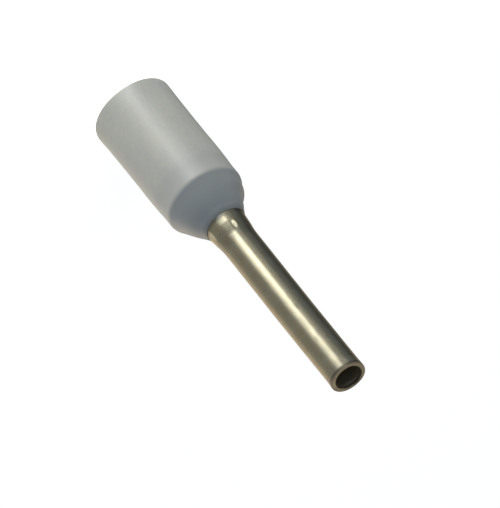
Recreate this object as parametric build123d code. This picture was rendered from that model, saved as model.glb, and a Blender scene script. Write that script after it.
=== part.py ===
from build123d import *
import os
from math import cos, radians, sin, sqrt, tan

# Insulated wire ferrule for a 0.5 mm2 stranded wire, in millimetres. It stands on the mouth of
# its collar: the origin is the middle of the mouth's rim, and +Z points at the sleeve's open tip.
# Both pieces are turned forms, so each is drawn as a section (radius, height) and revolved.

# The sleeve is a drawn tube whose flared end wedges into the collar from the mouth side
sleeve_bore = 1.0
sleeve_wall = 0.15
sleeve_reach = 8.0       # from the collar's nose to the tip
neck_reach = 1.05        # how far past the nose the flare begins
neck_radius = 4.2        # bend from the straight tube to the tapered neck
neck_angle = 6.0         # degrees, between the neck's side and the axis
neck_depth = 0.55        # how far the neck runs on inside the collar
funnel_radius = 0.6      # bend from the neck to the funnel that guides the strands
funnel_angle = 32.0      # degrees, between the funnel's side and the axis
tip_round = 0.04

# The collar is moulded, and its cone is the sleeve's seat
cable_bore = 2.4         # takes the wire with its insulation
collar_wall = 0.255      # at the shoulder
mouth_draft = 0.02       # how much further out the mouth stands than the shoulder
collar_length = 6.2
cone_length = 1.34
shoulder_round = 0.35
lip_length = 0.13        # thin lip that hugs the sleeve at the nose
lip_wall = 0.035
lip_blend = 0.3
nose_round = 0.012
rim_round = 0.06
lead_in = 0.08           # bevel inside the mouth
funnel_clearance = 0.03  # between the funnel's rim and the cable bore

tube_radius = sleeve_bore / 2 + sleeve_wall
bore_radius = cable_bore / 2
funnel_rim = bore_radius - funnel_clearance
shoulder_radius = bore_radius + collar_wall
mouth_radius = shoulder_radius + mouth_draft
tip = collar_length + sleeve_reach
flare_start = collar_length + neck_reach
shoulder = collar_length - cone_length
lip_start = collar_length - lip_length
bend_drop = neck_radius * sin(radians(neck_angle))
neck_length = (neck_reach + neck_depth - bend_drop) / cos(radians(neck_angle))


def neck_outside(height):
    # The sleeve's outside radius on its first bend and on the taper after it
    drop = flare_start - height
    on_bend = min(drop, bend_drop)
    bend = neck_radius - sqrt(neck_radius ** 2 - on_bend ** 2)
    return tube_radius + bend + (drop - on_bend) * tan(radians(neck_angle))


def flare_section(inset, rim_radius):
    # Everything inside the flared sleeve's side, drawn the inset below its outside, from the
    # tip to where the funnel has opened to the rim's radius
    side = tube_radius - inset
    tube = Line((side, tip), (side, flare_start))
    neck_bend = JernArc(tube @ 1, tube % 1, neck_radius + inset, neck_angle)
    neck = PolarLine(neck_bend @ 1, neck_length, direction=neck_bend % 1)
    funnel_bend = JernArc(neck @ 1, neck % 1, funnel_radius + inset, funnel_angle - neck_angle)
    funnel_length = (rim_radius - (funnel_bend @ 1).X) / sin(radians(funnel_angle))
    funnel = PolarLine(funnel_bend @ 1, funnel_length, direction=funnel_bend % 1)
    middle = Polyline(funnel @ 1, (0, (funnel @ 1).Y), (0, tip), tube @ 0)
    return make_face([tube, neck_bend, neck, funnel_bend, funnel, middle])


def sleeve_section():
    section = flare_section(0, funnel_rim) - flare_section(sleeve_wall, funnel_rim)
    tip_corners = section.vertices().group_by(Axis.Y)[-1]
    return fillet(tip_corners, tip_round)


def cable_space():
    # The seat is cut by the sleeve's own outside, carried on until it meets the cable bore
    seat = flare_section(0, bore_radius)
    seat_height = seat.vertices().sort_by(Axis.Y)[0].Y
    bore = Polyline(
        (0, 0), (bore_radius + lead_in, 0), (bore_radius, lead_in),
        (bore_radius, seat_height), (0, seat_height), close=True)
    return seat + make_face(bore)


def collar_section():
    outside = FilletPolyline(
        (0, 0), (mouth_radius, 0), (shoulder_radius, shoulder),
        (neck_outside(lip_start) + lip_wall, lip_start),
        (neck_outside(collar_length) + lip_wall, collar_length), (0, collar_length),
        radius=[rim_round, shoulder_round, lip_blend, nose_round])
    middle = Line((0, collar_length), (0, 0))
    return make_face([outside, middle]) - cable_space()


def turned(section):
    return revolve(Plane.XZ * section, Axis.Z)


os.makedirs("parts", exist_ok=True)
export_step(turned(sleeve_section()), "parts/crimp_sleeve.step")
export_step(turned(collar_section()), "parts/insulating_collar.step")
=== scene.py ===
from math import ceil, cos, pi, radians, sin, tan

import bpy
from mathutils import Matrix, Vector, noise


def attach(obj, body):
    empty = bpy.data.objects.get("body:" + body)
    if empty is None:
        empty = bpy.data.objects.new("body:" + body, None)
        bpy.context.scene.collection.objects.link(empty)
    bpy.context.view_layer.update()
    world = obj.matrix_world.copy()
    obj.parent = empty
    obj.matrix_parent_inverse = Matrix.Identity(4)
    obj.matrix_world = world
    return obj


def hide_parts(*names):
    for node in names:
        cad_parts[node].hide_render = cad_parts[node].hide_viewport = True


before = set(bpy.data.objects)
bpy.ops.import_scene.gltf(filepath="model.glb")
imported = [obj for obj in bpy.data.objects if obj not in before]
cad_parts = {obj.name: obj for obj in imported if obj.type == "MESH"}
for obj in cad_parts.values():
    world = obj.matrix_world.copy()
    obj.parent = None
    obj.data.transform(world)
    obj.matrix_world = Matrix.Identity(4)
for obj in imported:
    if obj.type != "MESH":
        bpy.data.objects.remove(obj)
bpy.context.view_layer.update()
mm = 0.001  # sizes below are in millimetres
white = (1, 1, 1, 1)
print("frame loaded:", ", ".join(sorted(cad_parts)))

# The ferrule stands on its collar and the camera is rolled far over, so +X is on the left in the
# picture. Left and right below are the picture's, and the back is the side away from the camera.


class Wire:
    # an output socket, where maths adds Math nodes to the socket's own tree
    def __init__(self, recipe, socket):
        self.recipe = recipe
        self.socket = socket

    def __add__(self, other):
        return self.recipe.maths("ADD", self, other)

    __radd__ = __add__

    def __mul__(self, other):
        return self.recipe.maths("MULTIPLY", self, other)

    __rmul__ = __mul__

    def __sub__(self, other):
        return self.recipe.maths("SUBTRACT", self, other)

    def __rsub__(self, other):
        return self.recipe.maths("SUBTRACT", other, self)

    def __truediv__(self, other):
        return self.recipe.maths("DIVIDE", self, other)

    def __rtruediv__(self, other):
        return self.recipe.maths("DIVIDE", other, self)


class Recipe:
    # the nodes of one material, or of the world
    def __init__(self, owner):
        owner.use_nodes = True
        self.owner = owner
        self.tree = owner.node_tree
        self.tree.nodes.clear()

    def add(self, kind, settings=None, sockets=None, out=0):
        # any node by its type, and back comes the output that out picks
        node = self.tree.nodes.new("ShaderNode" + kind)
        for key, value in (settings or {}).items():
            if key == "stops":
                stops = node.color_ramp.elements
                while len(stops) < len(value):
                    stops.new(0.5)
                for stop, (place, colour) in zip(stops, value):
                    stop.position, stop.color = place, colour
            else:
                setattr(node, key, value)
        for key, value in (sockets or {}).items():
            if isinstance(value, Wire):
                self.tree.links.new(value.socket, node.inputs[key])
            else:
                node.inputs[key].default_value = value
        return Wire(self, node.outputs[out]) if node.outputs else None

    def maths(self, operation, *terms):
        return self.add("Math", {"operation": operation}, dict(enumerate(terms)))

    def vector(self, operation, sockets, out=0):
        return self.add("VectorMath", {"operation": operation}, sockets, out)

    def place(self):
        # where a point of the surface lies, in millimetres
        return self.vector("SCALE", {0: self.add("TexCoord", out=3), "Scale": 1 / mm})

    def split(self, vector):
        parts = self.add("SeparateXYZ", {}, {0: vector})
        return [Wire(self, parts.socket.node.outputs[n]) for n in range(3)]

    def fromAxis(self, x, y):
        return self.maths("SQRT", x * x + y * y)

    def cloud(self, vector, scale, detail, stretch=(1, 1, 1)):
        # noise around 0, mostly between -1 and 1
        stretched = self.vector("MULTIPLY", {0: vector, 1: stretch})
        sockets = {"Vector": stretched, "Scale": scale, "Detail": detail}
        return (self.add("TexNoise", {}, sockets) - 0.5) * 2.0

    def step(self, value, low, high):
        # 0 at low, 1 at high, smooth between
        sockets = {"Value": value, "From Min": low, "From Max": high}
        return self.add("MapRange", {"interpolation_type": "SMOOTHSTEP"}, sockets)

    def band(self, value, low, lowEnd, highEnd, high):
        # 1 between lowEnd and highEnd, 0 below low and above high
        return self.step(value, low, lowEnd) * (1 - self.step(value, highEnd, high))

    def blend(self, factor, first, second):
        settings = {"data_type": "RGBA", "clamp_factor": True}
        return self.add("Mix", settings, {0: factor, 6: first, 7: second}, 2)

    def tinted(self, colour, tint):
        settings = {"data_type": "RGBA", "blend_type": "MULTIPLY"}
        return self.add("Mix", settings, {0: 1.0, 6: colour, 7: tint}, 2)

    def glow(self, colour, strength=1.0):
        return self.add("Emission", {}, {"Color": colour, "Strength": strength})

    def both(self, first, second):
        return self.add("AddShader", {}, {0: first, 1: second})

    def show(self, shader, target="Material"):
        self.add("Output" + target, {}, {"Surface": shader})


def recipeFor(piece, name):
    material = bpy.data.materials.new(name)
    piece.data.materials.append(material)
    return Recipe(material)


def inScene(name, data):
    thing = bpy.data.objects.new(name, data)
    bpy.context.scene.collection.objects.link(thing)
    return thing


def ramp(value, low, high):
    # 0 below low, 1 above high, straight between
    return max(0.0, min(1.0, (value - low) / (high - low)))


def bump(value, middle, width):
    # a smooth hill of height 1 that is gone a width away
    away = abs(value - middle) / width
    return 0.0 if away >= 1 else (1 - away * away) ** 2


def hills(value, *rows):
    # smooth hills added up: how high, where the top is, how wide to either side
    return sum(rise * bump(value, middle, width) for rise, middle, width in rows)


def sideHill(angle, where, width):
    # a hill round the axis, in degrees from the left
    return bump(angle, radians(where), radians(width))


def uneven(spot, *rows):
    # smooth noise added up: how much, how fine, and a shift of its own
    return sum(rise * noise.noise(spot * fine + Vector(shift)) for rise, fine, shift in rows)


def roundedRun(corners, runStep, arcStep=5.0):
    # points along straight runs through corners (radius, height, rounding)
    points = []
    last = len(corners) - 1
    for n, (radius, height, rounding) in enumerate(corners):
        here = Vector((radius, height))
        if n in (0, last) or rounding <= 0:
            points.append(here)
            continue
        before = (Vector(corners[n - 1][:2]) - here).normalized()
        after = (Vector(corners[n + 1][:2]) - here).normalized()
        half = before.angle(after) / 2
        middle = here + (before + after).normalized() * rounding / sin(half)
        start = here + before * rounding / tan(half) - middle
        turn = pi - 2 * half
        if start.x * before.y - start.y * before.x > 0:
            turn = -turn
        steps = max(3, ceil(abs(turn) / radians(arcStep)))
        for k in range(steps + 1):
            a = turn * k / steps
            points.append(middle + Vector((start.x * cos(a) - start.y * sin(a),
                                           start.x * sin(a) + start.y * cos(a))))
    run = [points[0]]
    for point in points[1:]:
        pieces = max(1, ceil((point - run[-1]).length / runStep))
        first = run[-1]
        run += [first.lerp(point, k / pieces) for k in range(1, pieces + 1)]
    return run


def turned(name, section, around, reshape):
    # a closed section spun round the axis, with its points moved a little by reshape
    verts, faces = [], []
    for point in section:
        for k in range(around):
            angle = 2 * pi * k / around
            radius, height, lean = reshape(point.x, point.y, angle)
            verts.append(((radius * cos(angle) + lean) * mm, radius * sin(angle) * mm, height * mm))
    rings = len(section)
    for n in range(rings):
        following = (n + 1) % rings
        for k in range(around):
            beside = (k + 1) % around
            faces.append((n * around + k, n * around + beside,
                          following * around + beside, following * around + k))
    mesh = bpy.data.meshes.new(name)
    mesh.from_pydata(verts, [], faces)
    mesh.validate()
    mesh.polygons.foreach_set("use_smooth", [True] * len(mesh.polygons))
    return inScene(name, mesh)


# Camera
cameraSet = {
    "aim": (0.0, 0.0, 7.1),
    "elevation": 34.97,
    "distance": 463.3,
    "roll": 140.96,
    "slide": (0.3542, -0.3884),  # sideways and up in the picture, in mm at the ferrule
    "lens": 970.5,
    "sensor": 36.0,
    "clip": (0.01, 10.0),        # in metres
}


def makeCamera(setup):
    lens = bpy.data.cameras.new("camera")
    lens.lens = setup["lens"]
    lens.sensor_width = setup["sensor"]
    lens.clip_start, lens.clip_end = setup["clip"]
    camera = inScene("camera", lens)
    tilt = radians(setup["elevation"])
    back = Vector((0, -cos(tilt), sin(tilt)))
    turn = back.to_track_quat("Z", "Y").to_matrix() @ Matrix.Rotation(radians(setup["roll"]), 3, "Z")
    across, up = setup["slide"]
    spot = Vector(setup["aim"]) + back * setup["distance"] + turn @ Vector((across, up, 0))
    camera.matrix_world = Matrix.Translation(spot * mm) @ turn.to_4x4()
    bpy.context.scene.camera = camera


makeCamera(cameraSet)
print("camera placed")

# The sleeve
sleeveSet = {
    "tubeRadius": 0.65,
    "wall": 0.15,
    "tip": 14.2,
    "tipRound": (0.035, 0.05),      # of the tip's inner and outer edge
    "flareStart": 7.25,
    "neckRadius": 4.2,
    "neckAngle": 6.0,
    "neckEnd": 5.65,
    "funnelRadius": 0.6,
    "funnelAngle": 32.0,
    "rimRadius": 1.17,
    "seam": 10.0,                   # height in the bore at which the closed section begins
    "runStep": 0.06,
    "around": 224,
    # where the real one is off: hills are (how much, height of the top, how wide up and down)
    "bell": (0.006, 6.15, 0.27),    # the flare opens out more just above the collar
    "neckHill": (0.004, 6.78, 0.22),
    "leftHills": [(0.008, 6.55, 0.3), (0.011, 6.36, 0.16)],
    "rightHill": (0.008, 6.68, 0.45),
    "uneven": [(0.0016, 1.3, (0, 0, 0)), (0.0007, 4.0, (7, 3, 1))],
    "unevenStretch": 0.8,
    "push": -0.017,                 # sideways off the collar's axis
    "pushHeights": (5.6, 6.2),
    "leanBack": (0.0036, 7.2),      # back towards the axis, per mm above this height
    "bow": (0.012, 10.9, 3.6),      # the tube bends sideways
    # the cut at the tip
    "burr": (0.012, 0.006),         # outwards all round, and more on the left
    "burrUneven": (0.3, 2.5, (0, 0, 0)),
    "burrReach": 0.36,
    "skin": (0.02, 0.10),           # how deep in the wall the burr begins and is full
    "boreEdge": (-0.004, 0.013, 0.036),  # outwards all round, towards the back, right at the back
    "edgeReach": 0.2,
    "torn": (0.042, 160, 75),       # the burr stands up on one side: height, where, how wide
    "cutShort": 0.004,
    "cutUneven": (0.004, 1.7, (0, 0, 8.5)),
}


def flareLine(setup, inset, rimRadius):
    # corners down the sleeve's side, the inset below its outside
    side = setup["tubeRadius"] - inset
    neck, funnel = radians(setup["neckAngle"]), radians(setup["funnelAngle"])
    bend, funnelBend = setup["neckRadius"] + inset, setup["funnelRadius"] + inset
    neckTop = setup["flareStart"] - bend * tan(neck / 2)
    outerTop = setup["flareStart"] - setup["neckRadius"] * sin(neck)
    outerSide = setup["tubeRadius"] + setup["neckRadius"] * (1 - cos(neck))
    endRadius = outerSide + (outerTop - setup["neckEnd"]) * tan(neck) - inset * cos(neck)
    endHeight = setup["neckEnd"] - inset * sin(neck)
    reach = funnelBend * tan((funnel - neck) / 2)
    cornerRadius, cornerHeight = endRadius + reach * sin(neck), endHeight - reach * cos(neck)
    low = cornerHeight - (rimRadius - cornerRadius) / tan(funnel)
    return [(side, neckTop, bend), (cornerRadius, cornerHeight, funnelBend), (rimRadius, low, 0)]


def offAxis(setup, height):
    # how far the sleeve is pushed off the collar's axis, with the collar's nose
    return setup["push"] * ramp(height, *setup["pushHeights"])


def makeSleeve(setup):
    outerSide, innerSide = setup["tubeRadius"], setup["tubeRadius"] - setup["wall"]
    tip, seam = setup["tip"], setup["seam"]
    innerRound, outerRound = setup["tipRound"]
    outside = flareLine(setup, 0, setup["rimRadius"])
    rim = outside[-1][1]
    inside = flareLine(setup, setup["wall"], setup["rimRadius"])[:2]
    bendRadius, bendHeight = inside[1][:2]
    rimInside = bendRadius + (bendHeight - rim) * tan(radians(setup["funnelAngle"]))
    corners = [(innerSide, seam, 0), (innerSide, tip, innerRound), (outerSide, tip, outerRound)]
    corners += outside + [(rimInside, rim, 0)] + inside[::-1] + [(innerSide, seam, 0)]
    section = roundedRun(corners, setup["runStep"])[:-1]
    section.reverse()  # so that the faces look outwards

    def reshape(radius, height, angle):
        # the shears leave a small burr round the tip, and the tube isn't quite even or straight
        left, right, back = max(0.0, cos(angle)), max(0.0, -cos(angle)), max(0.0, sin(angle))
        spot = Vector((cos(angle), sin(angle), height * setup["unevenStretch"]))
        change = uneven(spot, *setup["uneven"]) + hills(height, setup["bell"], setup["neckHill"])
        change += left * hills(height, *setup["leftHills"]) + right * hills(height, setup["rightHill"])
        outer = ramp(radius - innerSide, *setup["skin"])
        allRound, more = setup["burr"]
        burr = (allRound + more * cos(angle)) * (1 + uneven(spot, setup["burrUneven"]))
        change += burr * outer * bump(height, tip, setup["burrReach"])
        allRound, towardsBack, atBack = setup["boreEdge"]
        edge = allRound + towardsBack * sin(angle) + atBack * back ** 3
        change += edge * (1 - outer) * bump(height, tip, setup["edgeReach"])
        rise, where, width = setup["torn"]
        lift = rise * sideHill(angle, where, width) - setup["cutShort"]
        lift += uneven(Vector((cos(angle), sin(angle), 0)), setup["cutUneven"])
        backPerMm, backFrom = setup["leanBack"]
        lean = offAxis(setup, height) + backPerMm * max(0.0, height - backFrom)
        lean += hills(height, setup["bow"])
        return radius + change, height + lift * bump(height, tip, setup["edgeReach"]), lean

    piece = turned("tinnedSleeve", section, setup["around"], reshape)
    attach(piece, "root")
    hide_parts("crimp_sleeve")
    return piece


# The collar
collarSet = {
    "length": 6.2,
    "bore": 1.2,
    "leadIn": 0.08,
    "leadInRound": 0.05,
    "mouthRadius": 1.482,
    "mouthRound": (0.02, 0.10),    # of the mouth's inner and outer edge
    "shoulderRadius": 1.455,
    "shoulder": 4.86,
    "shoulderRound": 0.35,
    "coneEnd": 5.95,               # the cone's side steepens from here to the nose
    "coneEndRadius": 0.866,
    "coneBlend": 0.5,
    "noseRadius": 0.756,
    "noseRound": (0.006, 0.012),   # of the nose's inner and outer edge
    "noseGap": 0.002,              # dark line between the nose and the sleeve
    "seatGap": 0.0005,
    "seatDrops": (0.06, 0.15, 0.3),  # below the nose, where the seat follows the sleeve's bell
    "seatRound": 0.03,
    "runStep": 0.06,
    "around": 224,
    # where the real one is off, in the same way as the sleeve
    "rimCut": (0.054, 258, 75),    # the mouth is cut a little short on one side: by, where, how wide
    "rimCutReach": 0.6,
    "mouthHill": (0.008, 0.1, 0.7),  # and as much again on the left
    "hills": [(-0.004, 1.6, 1.2), (0.012, 3.5, 0.9), (-0.009, 4.45, 0.45), (0.014, 5.55, 0.6)],
    "swelling": [(0.052, 5.30, 0.27), (-0.024, 5.57, 0.26)],
    "swellingSide": (158, 72),
    "uneven": (0.0022, 1.4, (0, 0, 0)),
    "unevenStretch": 0.35,
    "boreSkin": 0.1,               # points nearer to the bore than this keep their place
    "coneSkin": (0.80, 0.95),      # radii from which the changes begin and are full
}


def makeCollar(setup, sleeve):
    nose, bore, leadIn = setup["length"], setup["bore"], setup["leadIn"]
    mouthInside, mouthOutside = setup["mouthRound"]
    noseInside, noseOutside = setup["noseRound"]
    seat = flareLine(sleeve, -setup["seatGap"], bore)
    slope = tan(radians(sleeve["neckAngle"]))

    def seatRadius(height):
        return seat[1][0] - (height - seat[1][1]) * slope + hills(height, sleeve["bell"])

    middle = (bore + setup["mouthRadius"] + leadIn) / 2
    corners = [
        (middle, 0, 0),
        (setup["mouthRadius"], 0, mouthOutside),
        (setup["shoulderRadius"], setup["shoulder"], setup["shoulderRound"]),
        (setup["coneEndRadius"], setup["coneEnd"], setup["coneBlend"]),
        (setup["noseRadius"], nose, noseOutside),
        (seatRadius(nose) + setup["noseGap"], nose, noseInside),
    ]
    corners += [(seatRadius(nose - drop), nose - drop, 0) for drop in setup["seatDrops"]]
    corners += [
        seat[1],
        (bore, seat[2][1], setup["seatRound"]),
        (bore, leadIn, setup["leadInRound"]),
        (bore + leadIn, 0, mouthInside),
        (middle, 0, 0),
    ]
    section = roundedRun(corners, setup["runStep"])[:-1]

    def reshape(radius, height, angle):
        # the outside of the moulding has a faint waist, and swells on one side of its cone
        short, where, width = setup["rimCut"]
        cut = short * sideHill(angle, where, width) * bump(height, 0, setup["rimCutReach"])
        if radius < bore + setup["boreSkin"] and height < setup["shoulder"] - setup["boreSkin"]:
            return radius, height + cut, 0.0
        spot = Vector((cos(angle), sin(angle), height * setup["unevenStretch"]))
        left, right = max(0.0, cos(angle)) ** 2, sideHill(angle, *setup["swellingSide"])
        change = uneven(spot, setup["uneven"]) + hills(height, *setup["hills"])
        change += (1 + left) * hills(height, setup["mouthHill"])
        change += right * hills(height, *setup["swelling"])
        outer = ramp(radius, *setup["coneSkin"])
        return radius + change * outer, height + cut, offAxis(sleeve, height)

    piece = turned("mouldedCollar", section, setup["around"], reshape)
    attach(piece, "root")
    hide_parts("insulating_collar")
    return piece


tinnedSleeve = makeSleeve(sleeveSet)
mouldedCollar = makeCollar(collarSet, sleeveSet)
print("sleeve and collar made:", len(tinnedSleeve.data.polygons), len(mouldedCollar.data.polygons), "faces")

# The tin
tinSet = {
    "bright": (0.82, 0.77, 0.57, 1),
    "dull": (0.68, 0.63, 0.45, 1),
    "warm": (1.0, 0.965, 0.93, 1),
    "cool": (0.965, 1.0, 1.0, 1),
    "dusty": (0.42, 0.40, 0.31, 1),
    # colour of a painted highlight on the flare's left
    "rubbed": (0.83, 0.86, 0.67, 1),
    "cutEdge": (0.33, 0.29, 0.21, 1),
    # colour of the painted shade on the cut
    "cutShade": (0.15, 0.14, 0.11, 1),
    # colour of the painted shade where the sleeve comes out of the collar
    "grime": (0.20, 0.20, 0.18, 1),
    "bore": (0.50, 0.475, 0.375, 1),
    # noise: scale, detail and stretch
    "drawn": (14.0, 4.0, (1, 1, 0.03)),  # marks that the drawing die leaves
    "patches": (2.2, 3.0),
    "waves": (3.0, 2.0, (1, 1, 0.5)),
    "specks": (16.0, 1.0),
    "tints": (4.5, 2.0, (1, 1, 0.6)),
    # where each mask begins and where it is full
    "wearRange": (-0.6, 0.9),
    "speckRange": (0.60, 0.72),
    "tintRange": (-0.5, 0.5),
    "boreRadius": (0.53, 0.515),
    "ring": (6.6, 6.85, 7.15, 7.5),      # heights of a duller ring round the flare
    "tipDust": (-0.5, -0.2),             # heights from the tip
    "tipEdge": (-0.15, -0.07),
    "leftEdge": (0.35, 0.6),             # a painted highlight makes the cut brighter on the left, in front
    "cutHighlightFront": (0.1, -0.15),
    # painted shade on the cut: along its outside edge, and towards its back
    "stainRadius": (0.60, 0.64),
    "stainBack": (0.38, 0.56),
    "noseShadeLine": (0.19, 0.05),           # heights from the collar's nose
    "grimeBack": (-0.735, -0.665),
    "lessShadeRight": (-0.13, -0.25),
    "lessShadeFront": (-0.4, -0.55),
    # how much each mask lays on, or takes off
    "amounts": {"drawnWear": 0.5, "specks": 0.5, "tipDust": 0.65, "ring": 0.35, "leftEdge": 0.45,
                "tipEdge": 0.9, "stainRadius": 0.4, "stainBack": 0.7, "grime": 0.95, "grimeBack": 0.5,
                "wiped": 0.7, "lessMetal": 0.08},
    "roughness": 0.22,
    "rougher": {"drawn": 0.05, "patches": -0.03, "specks": 0.1, "tip": 0.1, "bore": 0.22},
    "bump": {"strength": 0.2, "depth": 0.0015, "drawn": 0.6, "waves": 5.0},
    # the flare's skin leans up more between these heights, left of a line and in front
    "neckStep": (6.48, 6.62, 6.97, 7.15),
    "neckSide": (-0.25, -0.19),
    "neckFront": (-0.25, -0.45),
    "neckLean": 0.12,
    "spotShape": (1, 1, 0.42),           # spots are longer along the tube
    # spots: where, from full to gone, how far the skin leans sideways there, colour, how much of it
    "spots": [
        ((-0.285, -0.62, 6.79), (0.02, 0.11), 0.40, "bright", 0.0),
        # a flat on the flare's left that leans the skin, with a painted highlight on it
        ((0.60, -0.40, 6.47), (0.04, 0.14), 0.48, "rubbed", 1.0),
        # painted shade on the flare's front, just above the collar
        ((0.0, -0.74, 6.35), (0.03, 0.17), 0.0, "grime", 0.35),
        # a painted highlight on the reflected stripe where it ends beside the tip
        ((-0.26, -0.59, 13.93), (0.03, 0.14), 0.0, "bright", 0.8),
        ((-0.13, -0.635, 11.01), (0.02, 0.12), 0.0, "dusty", 0.6),
        ((0.0, -0.65, 11.7), (0.02, 0.12), 0.0, "dusty", 0.3),
        ((-0.11, -0.64, 12.43), (0.02, 0.12), 0.0, "dusty", 0.45),
        ((0.05, -0.65, 12.6), (0.02, 0.10), 0.0, "dusty", 0.45),
        ((0.03, -0.66, 7.11), (0.02, 0.14), 0.0, "dusty", 0.5),
    ],
}


def wornTin(recipe, setup, place, drawn, patches, specks):
    # bright and dull tin with faint tints and specks
    amounts = setup["amounts"]
    wear = recipe.step(patches + drawn * amounts["drawnWear"], *setup["wearRange"])
    colour = recipe.blend(wear, setup["dull"], setup["bright"])
    tints = recipe.step(recipe.cloud(place, *setup["tints"]), *setup["tintRange"])
    colour = recipe.tinted(colour, recipe.blend(tints, setup["warm"], setup["cool"]))
    return recipe.blend(specks * amounts["specks"], colour, setup["dull"])


def cutTin(recipe, setup, colour, atTip, x, y, radius):
    # the bare cut round the tip, with painted shade along its outside edge and at its back, and a painted
    # highlight on its left front
    amounts = setup["amounts"]
    # painted highlight: the cut is lighter on its left front
    onLeft = recipe.step(x, *setup["leftEdge"]) * recipe.step(y, *setup["cutHighlightFront"])
    cutEdge = recipe.blend(onLeft * amounts["leftEdge"], setup["cutEdge"], setup["dull"])
    colour = recipe.blend(atTip * amounts["tipEdge"], colour, cutEdge)
    shadedCut = recipe.step(radius, *setup["stainRadius"]) * amounts["stainRadius"]
    shadedCut = shadedCut + recipe.step(y, *setup["stainBack"]) * amounts["stainBack"]
    return recipe.blend(atTip * shadedCut, colour, setup["cutShade"])


def shadeAtCollar(recipe, setup, x, y, z):
    # painted shade: a dark line where the sleeve comes out of the collar, thinner at the back and lighter
    # on the right
    amounts = setup["amounts"]
    low, high = (collarSet["length"] + height for height in setup["noseShadeLine"])
    less = recipe.step(y, *setup["grimeBack"]) * amounts["grimeBack"]
    wiped = recipe.step(x, *setup["lessShadeRight"]) * recipe.step(y, *setup["lessShadeFront"])
    return recipe.step(z, low, high) * (amounts["grime"] - less) * (1 - wiped * amounts["wiped"])


def tinFinish(piece, setup):
    recipe = recipeFor(piece, "drawnTin")
    amounts, rougher, bumps = setup["amounts"], setup["rougher"], setup["bump"]
    place = recipe.place()
    x, y, z = recipe.split(place)
    radius = recipe.fromAxis(x, y)
    drawn, patches, waves = (recipe.cloud(place, *setup[name]) for name in ("drawn", "patches", "waves"))
    specks = recipe.step(recipe.cloud(place, *setup["specks"]), *setup["speckRange"])
    inBore = recipe.step(radius, *setup["boreRadius"])
    onOutside = 1 - inBore
    dusty, atTip = (recipe.step(z, *(sleeveSet["tip"] + height for height in setup[name]))
                    for name in ("tipDust", "tipEdge"))

    colour = wornTin(recipe, setup, place, drawn, patches, specks)
    colour = recipe.blend(dusty * amounts["tipDust"], colour, setup["dusty"])
    colour = recipe.blend(inBore, colour, setup["bore"])
    onRing = recipe.band(z, *setup["ring"]) * onOutside
    colour = recipe.blend(onRing * amounts["ring"], colour, setup["dusty"])

    onNeck = recipe.band(z, *setup["neckStep"]) * onOutside
    onNeck = onNeck * recipe.step(x, *setup["neckSide"]) * recipe.step(y, *setup["neckFront"])
    sideways = 0.0
    here = recipe.vector("MULTIPLY", {0: place, 1: setup["spotShape"]})
    for spot, (full, gone), lean, paint, amount in setup["spots"]:
        there = recipe.vector("MULTIPLY", {0: spot, 1: setup["spotShape"]})
        onSpot = recipe.step(recipe.vector("DISTANCE", {0: here, 1: there}, 1), gone, full) * onOutside
        if lean:
            onNeck = onNeck * (1 - onSpot)
            sideways = onSpot * lean + sideways
        if amount:
            colour = recipe.blend(onSpot * amount, colour, setup[paint])

    colour = cutTin(recipe, setup, colour, atTip, x, y, radius)
    # painted shade along the collar's nose
    colour = recipe.blend(shadeAtCollar(recipe, setup, x, y, z) * onOutside, colour, setup["grime"])
    roughness = setup["roughness"] + drawn * rougher["drawn"] + patches * rougher["patches"]
    roughness = roughness + specks * rougher["specks"] + atTip * rougher["tip"] + inBore * rougher["bore"]

    leaning = recipe.add("CombineXYZ", {}, {"X": sideways, "Z": onNeck * setup["neckLean"]})
    skin = recipe.vector("ADD", {0: recipe.add("NewGeometry", out=1), 1: leaning})
    skin = recipe.vector("NORMALIZE", {0: skin})
    height = drawn * bumps["drawn"] + waves * bumps["waves"]
    marks = recipe.add("Bump", {}, {"Strength": bumps["strength"], "Distance": bumps["depth"] * mm,
                                    "Height": height, "Normal": skin})
    recipe.show(recipe.add("BsdfPrincipled", {}, {
        "Base Color": colour, "Metallic": 1 - dusty * amounts["lessMetal"], "Roughness": roughness,
        "Normal": marks}))


# The plastic
plasticSet = {
    "barrel": (0.420, 0.419, 0.367, 1),
    # a darker tone in random patches, and the painted shade near the shoulder
    "shade": (0.364, 0.371, 0.340, 1),
    # painted shade: the cone, darker again towards the nose, and darkest at the nose's rim
    "cone": (0.299, 0.322, 0.320, 1),
    "nose": (0.232, 0.259, 0.272, 1),
    "rim": (0.165, 0.177, 0.176, 1),
    "cool": (0.985, 1.0, 1.015, 1),
    "warm": (1.010, 1.0, 0.985, 1),
    # noise: scale, detail and stretch
    "patches": (1.1, 3.0, (1, 1, 0.5)),
    "grain": (24.0, 3.0),
    "mottle": (7.0, 3.0),
    "tints": (5.0, 3.0),
    # where each mask begins and where it is full
    "toneRange": (-1.0, 0.7),
    "tintRange": (-0.4, 0.4),
    # painted shade on the barrel as it nears the shoulder
    "towardsCone": (3.7, 4.5),
    "coneFrom": (-0.02, 0.1),      # heights from the shoulder
    "darkerToNoseFrom": 0.2,
    "rimShadeFrom": 0.25,               # below the nose
    "toneMix": {"mottle": 0.9, "towardsCone": 1.2},
    "roughness": 0.34,
    "rougher": {"grain": 0.04, "patches": 0.03},
    "gloss": 0.9,
    "bump": {"strength": 0.3, "depth": 0.003},
}


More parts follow.
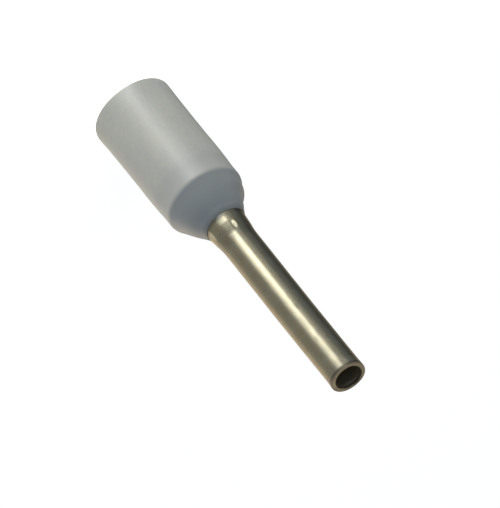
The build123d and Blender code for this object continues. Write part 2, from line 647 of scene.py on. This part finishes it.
def plasticFinish(piece, setup):
    recipe = recipeFor(piece, "greyPolypropylene")
    mix, rougher, bumps = setup["toneMix"], setup["rougher"], setup["bump"]
    shoulder, nose = collarSet["shoulder"], collarSet["length"]
    place = recipe.place()
    z = recipe.split(place)[2]
    patches, grain, mottle, tints = (
        recipe.cloud(place, *setup[name]) for name in ("patches", "grain", "mottle", "tints"))
    # painted shade: the barrel darkens towards the shoulder
    darker = recipe.step(z, *setup["towardsCone"]) * mix["towardsCone"]
    tone = recipe.step(patches + mottle * mix["mottle"] - darker, *setup["toneRange"])
    colour = recipe.blend(tone, setup["shade"], setup["barrel"])
    # painted shade on the cone, darker towards the nose and darkest at its rim
    onCone = recipe.step(z, *(shoulder + height for height in setup["coneFrom"]))
    darkerToNose = recipe.step(z, shoulder + setup["darkerToNoseFrom"], nose)
    colour = recipe.blend(onCone, colour, recipe.blend(darkerToNose, setup["cone"], setup["nose"]))
    colour = recipe.blend(recipe.step(z, nose - setup["rimShadeFrom"], nose), colour, setup["rim"])
    tints = recipe.step(tints, *setup["tintRange"])
    colour = recipe.tinted(colour, recipe.blend(tints, setup["warm"], setup["cool"]))
    roughness = setup["roughness"] + grain * rougher["grain"] + patches * rougher["patches"]
    texture = recipe.add("Bump", {}, {"Strength": bumps["strength"], "Distance": bumps["depth"] * mm,
                                      "Height": grain})
    recipe.show(recipe.add("BsdfPrincipled", {}, {
        "Base Color": colour, "Roughness": roughness, "Specular IOR Level": setup["gloss"],
        "Normal": texture}))


tinFinish(tinnedSleeve, tinSet)
plasticFinish(mouldedCollar, plasticSet)
print("finishes made")

# Floor, light and reflections
studioSet = {
    "floorReach": 3000,
    "floorPaint": (0.8, 0.8, 0.8, 1),
    "floorSeen": 0.9,                  # light of the table where the camera or gloss sees it
    "floorGlow": (1.12, 1.58),         # light that it sends up at the ferrule, right and left
    "floorFade": (-30, 10),
    "roomGlow": (0.05, 0.07, 0.10, 1),
    # the cloth round the set: colours towards the camera's side and the back
    "clothGlow": (0.135, 0.18, 0.22, 1),
    "backGlow": (0.50, 0.45, 0.40, 1),
    "clothFade": (-200, 120),
    "clothReach": 250,
    "clothRise": (1, 76),              # degrees above the table
    "clothParts": (48, 8),
    "sheetReach": 250,
    "sheetHeight": 0.05,
    "sheetParts": 96,
    # the graded sheet, by degrees round the ferrule from the camera's side: light and tint
    "sheet": [
        (-180, 0.50, (1, 0.9, 0.8)),
        (-150, 0.24, (1, 0.95, 0.82)),
        (-130, 0.075, (1, 1, 0.95)),
        (-110, 0.056, (0.92, 1, 1.15)),
        (-85, 0.112, (0.85, 0.96, 1.15)),
        (-70, 0.14, (0.93, 1.05, 1.18)),
        (-60, 0.118, (0.94, 1.03, 1.12)),
        (-42, 0.07, (1, 1.03, 1.1)),
        (-25, 0.11, (1, 1, 1)),
        (12, 0.20, (1, 1, 1)),
        (30, 0.225, (1, 1, 1)),
        (60, 0.195, (1, 0.99, 0.98)),
        (90, 0.235, (1, 0.97, 0.92)),
        (108, 0.355, (1, 0.90, 0.82)),
        (140, 0.46, (1, 0.86, 0.74)),
        (180, 0.50, (1, 0.9, 0.8)),
    ],
    "card": (1.76, 1.49, 0.30),        # the bright card in front, a glow on the sheet: near, middle and far
    "cardSides": (-28, -13, -10.5, 33),
    "cardReach": (11.5, 16, 18.2, 25),
    "cardSlant": (12.5, 9),            # its left side slants in between these, nearer to the ferrule,
    "cardTurn": 4.5,                   # by this many degrees
    # a warmer glow on the sheet, far behind on the right, which shows in the cone's edge as a painted
    # reflection
    "warmGlow": 0.6,
    "warmColour": (1, 0.78, 0.58, 1),
    "warmSides": (-122, -150),
    "warmReach": (20.5, 23),
    # lamps: power, place and colour
    "lamps": {
        "lamp": (0.04, (-52, -92, 160), (1, 1, 1)),
        "table": (0.035, (-60, -105, -60), (1, 1, 1)),  # shines up through the table
        "edge": (0.052, (95, 105, -45), (1, 0.84, 0.60)),
    },
    "lampSize": 80,
    "lampAim": (0, 0, 7),
}


def setPiece(name, verts, faces):
    mesh = bpy.data.meshes.new(name)
    mesh.from_pydata([[side * mm for side in vert] for vert in verts], [], faces)
    piece = inScene(name, mesh)
    return piece


def flatPiece(name, reach, height, parts=4):
    angles = [2 * pi * (k + 0.5) / parts for k in range(parts)]
    verts = [(reach * cos(angle), reach * sin(angle), height) for angle in angles]
    return setPiece(name, verts, [tuple(range(parts))])


def glowFor(piece, name):
    # a recipe for a piece that glows and isn't sampled as a lamp
    recipe = recipeFor(piece, name)
    recipe.owner.cycles.emission_sampling = "NONE"
    return recipe


def onlyInGloss(piece):
    piece.visible_camera = piece.visible_diffuse = False
    piece.visible_shadow = piece.visible_transmission = False


def seenWhite(recipe):
    # 1 for the camera, and 1 for whatever metal or glass shows
    outs = recipe.add("LightPath").socket.node.outputs
    camera, glossy, through = (
        Wire(recipe, outs[name]) for name in ("Is Camera Ray", "Is Glossy Ray", "Is Transmission Ray"))
    return camera, recipe.maths("MINIMUM", glossy + through, 1.0)


def makeFloor(setup):
    floor = flatPiece("floor", setup["floorReach"], 0)
    recipe = glowFor(floor, "litTable")
    camera, mirrored = seenWhite(recipe)
    x = recipe.split(recipe.place())[0]
    onRight, onLeft = setup["floorGlow"]
    sent = onRight + recipe.step(x, *setup["floorFade"]) * (onLeft - onRight)
    strength = (camera + mirrored) * setup["floorSeen"] + (1 - camera) * (1 - mirrored) * sent
    paint = recipe.add("BsdfDiffuse", {}, {"Color": setup["floorPaint"]})
    recipe.show(recipe.both(recipe.glow(white, strength), paint))
    floor.visible_shadow = False  # the table lets the lamp below it through


def makeSheet(setup):
    # a glowing sheet round the ferrule, which only shows in gloss as a painted reflection: dark on one
    # side, dim on the other and bright in front
    sheet = flatPiece("gradedSheet", setup["sheetReach"], setup["sheetHeight"], setup["sheetParts"])
    recipe = glowFor(sheet, "gradedGlow")
    x, y, z = recipe.split(recipe.place())
    angle = recipe.maths("ARCTAN2", x, 0 - y) * (180 / pi)
    away = recipe.fromAxis(x, y)
    stops = [((a + 180) / 360, (*(light * part for part in tint), 1)) for a, light, tint in setup["sheet"]]
    graded = recipe.glow(recipe.add("ValToRGB", {"stops": stops}, {0: (angle + 180) / 360}))
    start, full, fading, gone = setup["cardSides"]
    slant = recipe.step(away, *setup["cardSlant"]) * setup["cardTurn"]
    onCard = recipe.step(angle, start, full) * (1 - recipe.step(angle + slant, fading, gone))
    near, middle, far = setup["card"]
    nearEnd, middleStart, middleEnd, farStart = setup["cardReach"]
    light = near - recipe.step(away, nearEnd, middleStart) * (near - middle)
    light = light - recipe.step(away, middleEnd, farStart) * (middle - far)
    behind = recipe.step(angle, *setup["warmSides"]) * recipe.step(away, *setup["warmReach"])
    warm = recipe.glow(setup["warmColour"], behind * setup["warmGlow"])
    recipe.show(recipe.both(graded, recipe.both(recipe.glow(white, onCard * light), warm)))
    onlyInGloss(sheet)


def makeCloth(setup):
    # dimly glowing cloth round the set, above the table, which only shows in gloss as a painted reflection
    around, rise = setup["clothParts"]
    low, high = setup["clothRise"]
    reach = setup["clothReach"]
    verts = []
    for j in range(rise + 1):
        up = radians(low + (high - low) * j / rise)
        for k in range(around + 1):
            side = 2 * pi * k / around
            verts.append((reach * sin(side) * cos(up), -reach * cos(side) * cos(up), reach * sin(up)))
    firsts = [j * (around + 1) + k for j in range(rise) for k in range(around)]
    faces = [(a, a + 1, a + around + 2, a + around + 1) for a in firsts]
    cloth = setPiece("darkCloth", verts, faces)
    recipe = glowFor(cloth, "cloth")
    y = recipe.split(recipe.place())[1]
    facing = recipe.step(y, *setup["clothFade"])
    recipe.show(recipe.glow(recipe.blend(facing, setup["clothGlow"], setup["backGlow"])))
    onlyInGloss(cloth)


def makeRoom(setup):
    world = bpy.data.worlds.new("room")
    bpy.context.scene.world = world
    recipe = Recipe(world)
    camera, mirrored = seenWhite(recipe)
    colour = recipe.blend(camera + mirrored, setup["roomGlow"], white)
    recipe.show(recipe.add("Background", {}, {"Color": colour, "Strength": 1.0}), "World")
    world.cycles.sampling_method = "NONE"


def makeLamps(setup):
    for name, (power, place, colour) in setup["lamps"].items():
        light = bpy.data.lights.new(name, "AREA")
        light.color = colour
        light.energy = power
        light.size = setup["lampSize"] * mm
        lamp = inScene(name, light)
        lamp.location = Vector(place) * mm
        away = Vector(place) - Vector(setup["lampAim"])
        lamp.rotation_euler = away.to_track_quat("Z", "Y").to_euler()


makeFloor(studioSet)
makeSheet(studioSet)
makeCloth(studioSet)
makeRoom(studioSet)
makeLamps(studioSet)
bpy.context.scene.view_settings.view_transform = "Standard"
print("floor and lights made")
